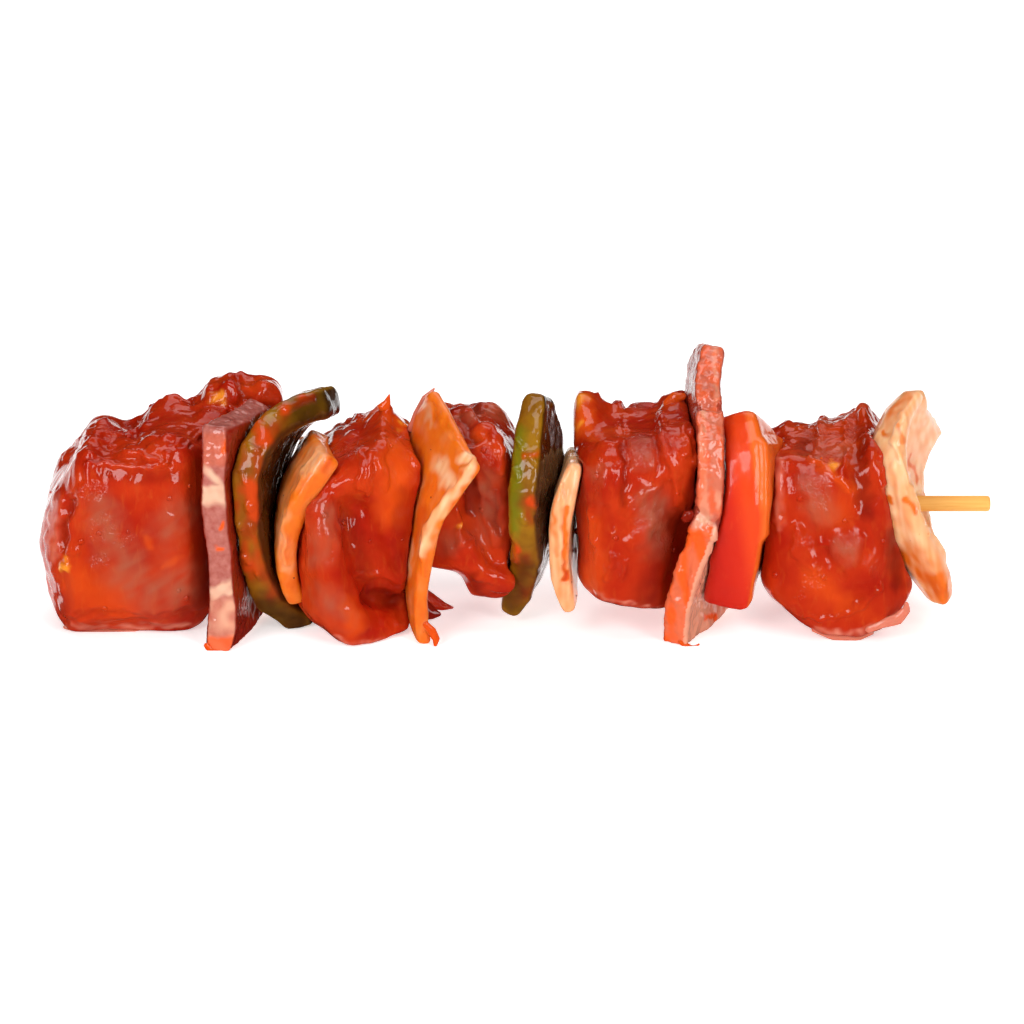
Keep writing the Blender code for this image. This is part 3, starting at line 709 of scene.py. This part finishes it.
def make_bacon_1(material):
    """A pink slice: two fat bands and a pale streak on its cut edge, and dark red marinade and painted shade
    on its broad sides.
    """
    skin = Skin("bacon_slice_1", cell=0.32, softening=8, seed=7)
    skin.push(0.16 * skin.lumps(2.6, 1) + 0.16 * skin.lumps(1.0, 2))
    x = skin.points[:, 0]
    v = skin.sides[0][0][:, 1]
    wobble = skin.lumps(4.0, 3) + 0.5 * skin.lumps(1.6, 4)
    upper_band = band(v + 0.9 * wobble, -0.4, 3.4, 0.9)
    streak = band(v + 1.1 * (x + 60.4) + 0.8 * wobble, 7.0, 8.6, 0.9) * band(v, 2.0, 8.4, 1.4)
    lower_band = band(v - 0.35 * (x + 58) + 0.9 * wobble, -19.4, -16.2, 0.9)
    fat = np.maximum(np.maximum(upper_band, 0.9 * streak), lower_band) * (0.9 + 0.4 * skin.lumps(1.6, 9))
    low = band(v, BELOW, -19.0, 1.5)
    skin.paint("fat", np.maximum(fat, (0.5 + skin.lumps(2.4, 5)) * low))
    skin.paint("warm", np.maximum(0.5 * band(v, 7.4, 14.0, 1.0), 0.3 * low))
    stains = [(-57.0, 11.2, 1.3), (-57.8, -4.6, 0.7), (-59.0, -9.0, 0.6)]
    skin.paint("stain", 0.8 * band(v + 0.8 * wobble, BELOW, -26.4, 1.0) + skin.patches(stains))
    top = np.clip((skin.normals[:, 2] - 0.5) * 4, 0, 1)
    # Painted shade on the broad sides, which face the neighbouring pieces, in the dark sauce colour, and
    # some sauce on the tops
    skin.paint("sauce", np.maximum(broad_sides(skin), 0.4 * top * (0.7 + skin.lumps(1.0, 6))))
    return skin.finish(material)


def make_bacon_2(material):
    """A tall slice: pink with orange-cream veins above, crumpled halfway, and orange with marinade below."""
    skin = Skin("bacon_slice_2", cell=0.32, softening=8, seed=14)
    strokes = [
        ([(41.6, 19.4), (38.0, 19.8), (36.6, 19.4)], 1.2, -1.2),
        ([(36.4, -1.0), (39.0, -3.4), (42.0, -4.4)], 1.4, -0.9),
        ([(36.0, -4.6), (38.6, -6.0), (40.6, -6.6)], 1.2, 0.8),
        ([(34.4, -2.6)], 1.8, 1.4),
        ([(37.4, 18.0), (37.8, 8.0), (36.6, 0.0)], 0.8, 0.5),
        ([(33.8, -8.0), (32.4, -20.0)], 1.0, 0.5),
        ([(36.0, -8.0), (34.6, -20.0)], 0.8, -0.4),
        ([(39.0, 22.0)], 1.4, 0.6),
    ]
    skin.push(skin.strokes(strokes) + 0.2 * skin.lumps(2.6, 1) + 0.18 * skin.lumps(1.0, 2))
    u, v = skin.sides[0][0].T
    wobble = 1.4 * skin.lumps(4.0, 3) + skin.lumps(1.6, 4)
    drawn = np.clip(0.5 + 1.8 * skin.lumps(1.4, 5, (1, 1, 4)) + 0.8 * skin.lumps(0.8, 6), 0, 1)
    undrawn = 1 - drawn
    streaks = np.clip(0.45 + 2.4 * skin.lumps(2.0, 8, (1, 1, 3)), 0, 1)
    broad = broad_sides(skin)
    right = skin.normals[:, 0] > 0
    head = band(v, 19.0, ABOVE, 1.0)
    middle = band(v + wobble, -3.0, 18.6, 1.6)
    crumple = band(v + wobble, -5.0, 2.0, 1.6)
    low = band(v + wobble, BELOW, -4.0, 1.6)
    middle_vein = middle * np.clip(1.3 - np.abs(u - 38.2 - 0.3 * wobble) / 0.65, 0, 1)
    head_vein = head * np.clip(1 - np.abs(u - 40.6 + 0.4 * wobble) / 0.8, 0, 1)
    fat = middle_vein + 0.8 * crumple * drawn + 0.2 * middle * drawn
    fat += 0.75 * head_vein + low * np.where(right, 0.85, 0.7)
    skin.paint("fat", fat * np.where(right, 1.0, 1 - broad))
    skin.paint("warm", 0.65 * middle + 0.55 * head + 0.8 * low * np.where(right, 0.2, 1.0))
    stain = low * np.where(right, 0.2, 1 - 0.6 * streaks) + 0.55 * (middle_vein + head) * undrawn
    stain = np.maximum(stain, skin.patches([(40.0, -22.6, 1.3), (41.4, -17.0, 1.0)]))
    skin.paint("stain", np.maximum(stain, 0.45 * middle * undrawn))
    drop = skin.washes([([(34.4, -2.6)], 2.4, 1.0)])
    # Painted shade on the broad sides, which face the neighbouring pieces, in the dark sauce colour, with
    # the drop of sauce over it
    skin.paint("sauce", np.maximum(0.75 * broad * band(v, -6.0, ABOVE, 2.0), drop))
    return skin.finish(material)


# For each strip: its washes of green, stain, sauce and shade, and the places of the drops that stand on it
GREEN_PEPPERS = {
    "green_pepper_1": {
        "green": [([(-44, 19), (-38, 21)], 5, 0.2), ([(-52, -13)], 3, 0.4)],
        "stain": [([(-48, 18), (-51, 10), (-53, 0), (-52, -10), (-48, -18)], 5, 0.95)],
        "sauce": [
            ([(-46.4, 18.6), (-40, 21.4)], 1.8, 0.8),
            ([(-50.4, 15), (-49.4, 12)], 2.4, 0.9),
            ([(-52.4, 4), (-51.4, -2)], 2.6, 0.9),
            ([(-52, -8), (-51.4, -13.6)], 2.4, 0.8),
        ],
        "shade": [([(-50, -20.6), (-43, -24)], 5, 0.75)],
        "drops": [
            (-51.6, 10.6), (-53.6, 5), (-52.6, -0.6), (-54, -4.6), (-52, -5.6), (-53, -11), (-51, -14.4),
        ],
    },
    "green_pepper_2": {
        "green": [([(1.6, 14), (0.4, 4), (0.4, -6)], 2.2, 0.8)],
        "stain": [([(2, -12), (2.4, -18)], 4, 0.6), ([(3, 2), (4, -4)], 2, 0.5)],
        "sauce": [
            ([(3, 9.8), (4.8, 10.2)], 1.5, 0.9),
            ([(4, 0.4), (5.6, -0.6)], 1.6, 0.9),
            ([(0.6, -6), (0.8, -12)], 1, 0.6),
        ],
        "shade": [([(2.6, -13), (1, -20)], 4.4, 0.55)],
        "drops": [(4.6, 8.6), (5, -1.4), (2, -3.2), (0.6, 6), (1.6, 12)],
    },
}


def make_green_pepper(node, material):
    """A strip of olive pepper wall: sauce and long drops stand on its skin, and its inner side and lower end
    are painted dark as shade.
    """
    facts = GREEN_PEPPERS[node]
    skin = Skin(node, cell=0.38, softening=20, seed=30 + int(node[-1]))
    smears = [(path, reach * 0.8, 0.35) for path, reach, _ in facts["sauce"]]
    drops = [([(u - 0.3, v + 0.6), (u + 0.3, v - 0.6)], 0.9, 0.6) for u, v in facts["drops"]]
    skin.push(skin.strokes(smears + drops) + 0.4 * skin.lumps(4.5, 1) + 0.16 * skin.lumps(2.2, 2))
    inner = np.clip(skin.normals[:, 0] * 3 - 1.4, 0, 1)
    smeared = 0.9 + 1.5 * skin.lumps(2.6, 3, (1, 1, 2))
    skin.paint("green", skin.washes(facts["green"]))
    skin.paint("stain", skin.washes(facts["stain"]) * smeared)
    skin.paint("sauce", skin.washes(facts["sauce"]) * (0.3 + smeared))
    skin.paint("shade", np.maximum(skin.washes(facts["shade"]), 0.9 * inner))
    skin.finish(material)


def make_red_pepper(material):
    """A smooth wedge: red skin on the left, and orange flesh that swells out on the right."""
    skin = Skin("red_pepper", cell=0.38, softening=20, seed=51)
    u, v = skin.sides[0][0].T
    right = np.clip((skin.normals[:, 0] - 0.4) * 3, 0, 1)
    lobe = 1.1 * right * band(v, -7.0, 12.6, 2.0)
    skin.push(lobe + 0.25 * skin.lumps(4.5, 1) + 0.05 * skin.lumps(1.4, 2))
    across = u + 0.15 * v
    skin.paint("deep", 0.8 * band(across, 30.0, 42.0, 4.0))
    skin.paint("warm", band(across, 45.4, 70.0, 3.0))
    skin.paint("flesh", np.maximum(right, band(across, 49.4, 70.0, 1.0)))
    skin.finish(material)


# For each petal: the degrees its veins lean, how much of it is cream all over, its washes of cream, stain
# and sauce (path, reach, amount), and its ridges and grooves (path, reach, rise)
ONIONS = {
    "onion_petal_1": {
        "lean": 20,
        "plain": 0,
        "cream": [
            ([(-38, 11), (-41, 7)], 2.6, 0.7),
            ([(-43, 8), (-45.6, 1), (-46.4, -6), (-45.4, -13)], 2.4, 0.35),
            ([(-40, 15), (-35, 15.4)], 2.4, 0.8),
        ],
        "stain": [([(-44, 5), (-45, -1)], 1.6, 0.4)],
        "sauce": [([(-36.4, 8.4), (-38, 6.4)], 1.4, 0.5)],
        "strokes": [([(-38.8, 10.7), (-43, 4), (-45.4, -3), (-45, -12)], 0.7, 0.5)],
    },
    "onion_petal_2": {
        "lean": 25,
        "plain": 0,
        "cream": [
            ([(-14.4, 7.4), (-12.6, 4.4)], 2.8, 0.9),
            ([(-10, 8.6), (-7.4, 10)], 1.6, 0.8),
            ([(-6.8, 8.6), (-11.4, 2.4), (-15.6, -3.4), (-18, -10)], 1.4, 0.8),
            ([(-20.4, -8), (-20.8, -14)], 1.4, 0.7),
            ([(-17.4, 20), (-16, 16)], 1.4, 0.5),
        ],
        "stain": [([(-9, 14), (-12.6, 16)], 2.4, 0.5)],
        "sauce": [([(-19.2, 10), (-19, 3), (-18.4, -2), (-20, -8)], 1.9, 0.7), ([(-17.6, -22)], 3, 0.4)],
        "strokes": [
            ([(-6.8, 9.7), (-13.4, 0.7), (-17.4, -5.3), (-18, -14)], 0.8, 0.5),
            ([(-16, 20), (-12, 14), (-8.4, 10)], 0.9, -0.3),
        ],
    },
    "onion_petal_3": {
        "lean": 0,
        "plain": 0.65,
        "cream": [([(13, 8), (13.4, -4), (12.6, -18)], 2, 0.9)],
        "stain": [
            ([(10.6, -1), (10.6, -8), (11, -15)], 0.9, 1),
            ([(8.6, 6), (8.2, -2), (9, -10)], 0.9, 0.6),
        ],
        "sauce": [([(10.8, -12), (11, -15)], 0.7, 0.7)],
        "strokes": [([(10.6, 4), (10.2, -4), (10.8, -16)], 0.7, -0.45)],
    },
    "onion_petal_4": {
        "lean": -8,
        "plain": 0.75,
        "cream": [([(76, 12), (75, 2), (78, -8)], 4, 0.95)],
        "stain": [
            ([(79, 0.6), (80.4, -1.4)], 0.9, 1),
            ([(74.6, 14.2), (75.6, 13.6)], 0.8, 1),
            ([(75.4, 1.2), (76.4, 0.4)], 0.7, 0.9),
            ([(79.6, 9.4), (80.4, 6), (81.4, 4.4)], 0.6, 0.9),
            ([(77.6, 15.6), (78, 12.6)], 0.7, 0.8),
            ([(78.6, -12), (83, -16), (88, -18)], 6, 1),
            ([(75, 19), (78, 22)], 3.4, 0.7),
        ],
        "sauce": [([(82, -14), (86, -17.6)], 2, 0.4)],
        "strokes": [
            ([(78, 18), (76.6, 12), (79.4, 4), (83, -6)], 0.8, 0.4),
            ([(73.6, 12), (73, 2), (76, -8)], 4, 1),
        ],
    },
}


def make_onion(node, material):
    """An onion petal: fine veins along it, and ragged orange stains on the cream."""
    facts = ONIONS[node]
    skin = Skin(node, cell=0.34, softening=16, seed=60 + int(node[-1]))
    veins = skin.lumps(0.8, 5, (1, 2, 12), facts["lean"])
    ragged = 0.8 + 0.9 * skin.lumps(1.8, 7, (1, 1, 3), facts["lean"])
    skin.push(skin.strokes(facts["strokes"]) + 0.16 * skin.lumps(5.0, 1) + 0.03 * veins)
    skin.paint("veins", 0.5 + veins)
    skin.paint("cream", np.maximum(facts["plain"], skin.washes(facts["cream"])) + 0.25 * skin.lumps(3.0, 4))
    skin.paint("stain", skin.washes(facts["stain"]) * ragged * 1.3)
    skin.paint("sauce", skin.washes(facts["sauce"]) * ragged)
    return skin.finish(material)


# ---------------- loose shreds, beads and specks

# How a shred is made: the points round it, the rings from corner to corner of its path, its thickness as a
# share of its width, the reach of its tips in radii, and the strength of its tint
ROUND, STEPS, FLATNESS, TIP, TINT = 10, 4, 0.45, 0.6, 0.8
TINTS = ("warm", "pale", "deep", "amber", "crinkle")

# Thin shreds that hang from each piece: the layer that tints it, and its path of (u, v, radius)
SHREDS = {
    "pork_2": [
        ("warm", [(-25.6, 18.6, 1.6), (-24.8, 20, 0.8), (-24.3, 21.6, 0.15)]),
        ("crinkle", [(-19, -18.4, 2.2), (-16.4, -19.6, 1.7), (-13.8, -20.6, 0.9), (-11.8, -20.9, 0.2)]),
        ("deep", [(-18.4, -20.6, 2), (-16.2, -22, 1.4), (-14.4, -22.2, 0.4)]),
    ],
    "onion_petal_2": [
        ("warm", [(-17.2, -23.6, 0.6), (-15.8, -25.2, 0.9), (-15, -26.8, 0.8), (-15.2, -28.2, 0.3)]),
        ("pale", [(-20.2, 14.4, 0.8), (-18.8, 17.8, 0.9), (-17.2, 20.8, 0.8), (-15.4, 22.8, 0.2)]),
    ],
    "pork_5": [
        ("pale", [(59.6, -25, 0.4), (64, -26.4, 0.9), (68.2, -26.6, 0.9), (71.6, -25.6, 0.4)]),
        (
            "pale",
            [(70.2, -25, 0.7), (73, -23.8, 0.9), (76.2, -22.8, 1.2), (77.8, -21, 0.9), (77.8, -19.6, 0.4)],
        ),
        ("warm", [(60.4, 8.8, 0.3), (62.6, 7.4, 0.55), (64.8, 6.2, 0.5), (66.8, 3.2, 0.2)]),
        ("amber", [(61.4, 6.2, 0.2), (64, 5.2, 0.4), (66, 4.4, 0.2)]),
    ],
    "bacon_slice_2": [
        ("warm", [(33.2, -27, 0.6), (34.4, -28.2, 0.7), (35.8, -28.8, 0.5), (37, -27.8, 0.2)]),
        ("deep", [(34.1, -2.2, 1.5), (34.7, -3, 1.4)]),
    ],
    "bacon_slice_1": [
        ("warm", [(-60.4, -27.8, 0.5), (-59.4, -29, 0.8), (-57.6, -29.3, 0.6), (-56.6, -28.6, 0.2)]),
    ],
    "pork_1": [
        ("pale", [(-89.4, -24.6, 0.4), (-84.6, -25.6, 0.8), (-79, -25.8, 0.7), (-74, -25, 0.3)]),
    ],
    "pork_4": [
        ("warm", [(30.6, 19.6, 0.9), (32.4, 21, 1.3), (34.4, 21.4, 0.6)]),
    ],
}


def shred_rings(path, depth):
    """The rings of points round a flattened strand that follows the path at this depth, and its two tips."""
    corners = np.arange(len(path))
    steps = np.linspace(0, len(path) - 1, STEPS * (len(path) - 1) + 1)
    u, v, r = (np.interp(steps, corners, values) for values in np.array(path, float).T)
    z = (v - depth * UP[1]) / UP[2]
    middle = np.stack([u, np.full(len(u), depth), z], axis=1)
    along = np.gradient(middle, axis=0)
    along /= np.linalg.norm(along, axis=1)[:, None]
    across = np.cross(along, FORWARD)
    rings = []
    for turn in np.arange(ROUND) * math.tau / ROUND:
        rings.append(middle + r[:, None] * (math.cos(turn) * across + FLATNESS * math.sin(turn) * FORWARD))
    tips = np.stack([middle[0] - along[0] * r[0] * TIP, middle[-1] + along[-1] * r[-1] * TIP])
    return np.stack(rings, axis=1), tips


def add_shred(shape, tint, path, depth):
    """Adds one closed strand along the path at this depth, no lower than the table."""
    rings, tips = shred_rings(path, depth)
    corners = np.concatenate([rings.reshape(-1, 3), tips])
    corners[:, 2] = np.maximum(corners[:, 2], FLOOR)
    verts = [shape.verts.new(corner * MM + AXIS) for corner in corners]
    for vert in verts:
        vert[tint] = TINT
    start, end = verts[-2:]
    rings = [verts[i : i + ROUND] for i in range(0, len(verts) - 2, ROUND)]
    for low, high in zip(rings, rings[1:]):
        for i in range(ROUND):
            shape.faces.new((low[i], low[i - 1], high[i - 1], high[i]))
    for i in range(ROUND):
        shape.faces.new((rings[0][i - 1], rings[0][i], start))
        shape.faces.new((rings[-1][i], rings[-1][i - 1], end))


def make_shreds(skins, material):
    """All the shreds as one piece, each starting on the surface of the piece it hangs from."""
    shape = bmesh.new()
    tints = {name: shape.verts.layers.float.new(name) for name in TINTS}
    for node, shreds in SHREDS.items():
        points = skins[node].points
        places, facing = skins[node].sides[0]
        for tint, path in shreds:
            away = np.linalg.norm(places - np.array(path[0][:2]), axis=1)
            away[facing <= 0.2] = np.inf
            add_shred(shape, tints[tint], path, points[np.argmin(away), 1])
    bmesh.ops.recalc_face_normals(shape, faces=shape.faces)
    mesh = bpy.data.meshes.new("shreds")
    shape.to_mesh(mesh)
    shape.free()
    mesh.materials.append(material)
    mesh.shade_smooth()
    shreds = add_object("shreds", mesh)
    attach(shreds, "root")


# The inputs of the scatter tree for each kind of lump
BEADS = {
    "Number for each square metre": 4500.0,
    "Smallest radius": 0.25 * MM,
    "Largest radius": 0.7 * MM,
    "Flatness": 0.55,
}
SPECKS = {
    "Number for each square metre": 2500.0,
    "Smallest radius": 0.1 * MM,
    "Largest radius": 0.22 * MM,
    "Flatness": 0.6,
}


def make_scatter(name, hosts, facts, material):
    """Small flattened lumps scattered over the host surfaces by Geometry Nodes, made one real mesh."""
    joined = bmesh.new()
    for host in hosts:
        joined.from_mesh(host.data)
    mesh = bpy.data.meshes.new(name)
    joined.to_mesh(mesh)
    joined.free()
    mesh.materials.clear()
    obj = add_object(name, mesh)
    tree = bpy.data.node_groups.new(name, "GeometryNodeTree")
    tree.interface.new_socket("Surface", in_out="INPUT", socket_type="NodeSocketGeometry")
    sizes = {
        label: tree.interface.new_socket(label, in_out="INPUT", socket_type="NodeSocketFloat")
        for label in facts
    }
    tree.interface.new_socket("Scattered", in_out="OUTPUT", socket_type="NodeSocketGeometry")

    def add(kind, inputs=None, out=0, **settings):
        return add_node(tree, kind, inputs, out, **settings)

    given = add("NodeGroupInput").node.outputs
    number = given["Number for each square metre"]
    surface = {"Mesh": given["Surface"], "Density": number, "Seed": 5}
    spread = add("GeometryNodeDistributePointsOnFaces", surface).node.outputs
    limits = {2: given["Smallest radius"], 3: given["Largest radius"], "Seed": 3}
    radius = add("FunctionNodeRandomValue", limits, 1, data_type="FLOAT")
    height = add("ShaderNodeMath", {0: radius, 1: given["Flatness"]}, operation="MULTIPLY")
    scale = add("ShaderNodeCombineXYZ", {"X": radius, "Y": radius, "Z": height})
    lump = add("GeometryNodeMeshIcoSphere", {"Radius": 1.0, "Subdivisions": 2})
    placed = {"Points": spread["Points"], "Rotation": spread["Rotation"], "Scale": scale, "Instance": lump}
    lumps = add("GeometryNodeInstanceOnPoints", placed)
    real = add("GeometryNodeRealizeInstances", {"Geometry": lumps})
    smooth = add("GeometryNodeSetShadeSmooth", {"Geometry": real})
    dressed = add("GeometryNodeSetMaterial", {"Geometry": smooth, "Material": material})
    add("NodeGroupOutput", {"Scattered": dressed})
    made = obj.modifiers.new("scatter", "NODES")
    made.node_group = tree
    for label, value in facts.items():
        made[sizes[label].identifier] = value
    make_real(obj)
    for vert in obj.data.vertices:
        vert.co.z = max(vert.co.z, 0.0)
    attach(obj, "root")


# ---------------- the studio

# For each softbox: its azimuth and elevation in degrees, its distance and size in metres, its radiance, and
# whether the wet surfaces mirror it. Azimuth 0 is the camera's side, and 90 is the right
SOFTBOXES = {
    "key": (-33, 28, 1.3, (0.55, 0.8), 7.0, True),
    "fill": (35, 26, 1.3, (0.4, 0.9), 7.0, True),
    "top": (0, 78, 1.5, (1.2, 0.7), 3.2, True),
    "behind": (170, 50, 1.8, (1.4, 1.0), 1.2, True),
    "back fill": (165, 30, 1.6, (1.0, 0.7), 4.0, False),
}

# The paper's reach from the skewer to each side, in metres
PAPER = 3


def make_camera():
    """A camera that looks at a point just below the stick's axis."""
    data = bpy.data.cameras.new("camera")
    data.lens = LENS
    data.sensor_width = SENSOR
    camera = add_object("camera", data)
    target = AXIS - UP * AXIS_ABOVE_CENTRE * MM
    camera.location = target - FORWARD * CAMERA_DISTANCE * MM
    camera.rotation_euler = Vector(FORWARD).to_track_quat("-Z", "Y").to_euler()
    bpy.context.scene.camera = camera


def make_softbox(name, azimuth, elevation, distance, size, radiance, mirrored):
    """A rectangular light that faces the skewer."""
    data = bpy.data.lights.new(name, "AREA")
    data.shape = "RECTANGLE"
    data.size, data.size_y = size
    data.energy = radiance * math.pi * size[0] * size[1]
    light = add_object(name, data)
    a, e = math.radians(azimuth), math.radians(elevation)
    away = Vector((math.sin(a) * math.cos(e), -math.cos(a) * math.cos(e), math.sin(e)))
    light.location = Vector(AXIS) + away * distance
    light.rotation_euler = (-away).to_track_quat("-Z", "Y").to_euler()
    light.visible_glossy = mirrored


def make_floor(name, near, far, material):
    """White paper from the y of near to the y of far."""
    mesh = bpy.data.meshes.new(name)
    corners = [(-PAPER, near, 0), (PAPER, near, 0), (PAPER, far, 0), (-PAPER, far, 0)]
    mesh.from_pydata(corners, [], [(0, 1, 2, 3)])
    mesh.materials.append(material)
    floor = add_object(name, mesh)
    return floor


def make_studio():
    """White paper and softboxes. The wet surfaces mirror softboxes, and the paper behind at their rims."""
    _, shade = new_finish("white paper")
    paper = shade(
        {
            "Base Color": "#F6F6F6",
            "Roughness": 0.9,
            "Emission Color": "#FFFFFF",
            "Emission Strength": 0.5,
        }
    )
    make_floor("floor in front", -PAPER, 0, paper).visible_glossy = False
    make_floor("floor behind", 0, PAPER, paper)
    for name, facts in SOFTBOXES.items():
        make_softbox(name, *facts)
    world = bpy.data.worlds.new("studio")
    bpy.context.scene.world = world
    world.use_nodes = True
    background = world.node_tree.nodes["Background"]
    background.inputs["Color"].default_value = (1.0, 1.0, 1.0, 1.0)
    background.inputs["Strength"].default_value = 1.0
    world.cycles_visibility.diffuse = False
    world.cycles_visibility.glossy = False
    bpy.context.scene.view_settings.view_transform = "Standard"


def main():
    """Dresses every node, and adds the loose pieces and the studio."""
    meat = meat_finish()
    skins = {node: make_meat(node, meat) for node in MEAT}
    chunks = [skin.obj for skin in skins.values()]
    bacon = bacon_finish()
    skins["bacon_slice_1"] = make_bacon_1(bacon)
    skins["bacon_slice_2"] = make_bacon_2(bacon)
    green = green_pepper_finish()
    for node in GREEN_PEPPERS:
        make_green_pepper(node, green)
    make_red_pepper(red_pepper_finish())
    onion = onion_finish()
    for node in ONIONS:
        skins[node] = make_onion(node, onion)
    make_shreds(skins, meat)
    make_scatter("marinade_beads", chunks, BEADS, meat)
    specked = [skin.obj for skin in skins.values()]
    make_scatter("pepper_specks", specked, SPECKS, speck_finish())
    Skin("skewer_stick", cell=0.22, softening=6, seed=1).finish(bamboo_finish())
    make_camera()
    make_studio()


main()
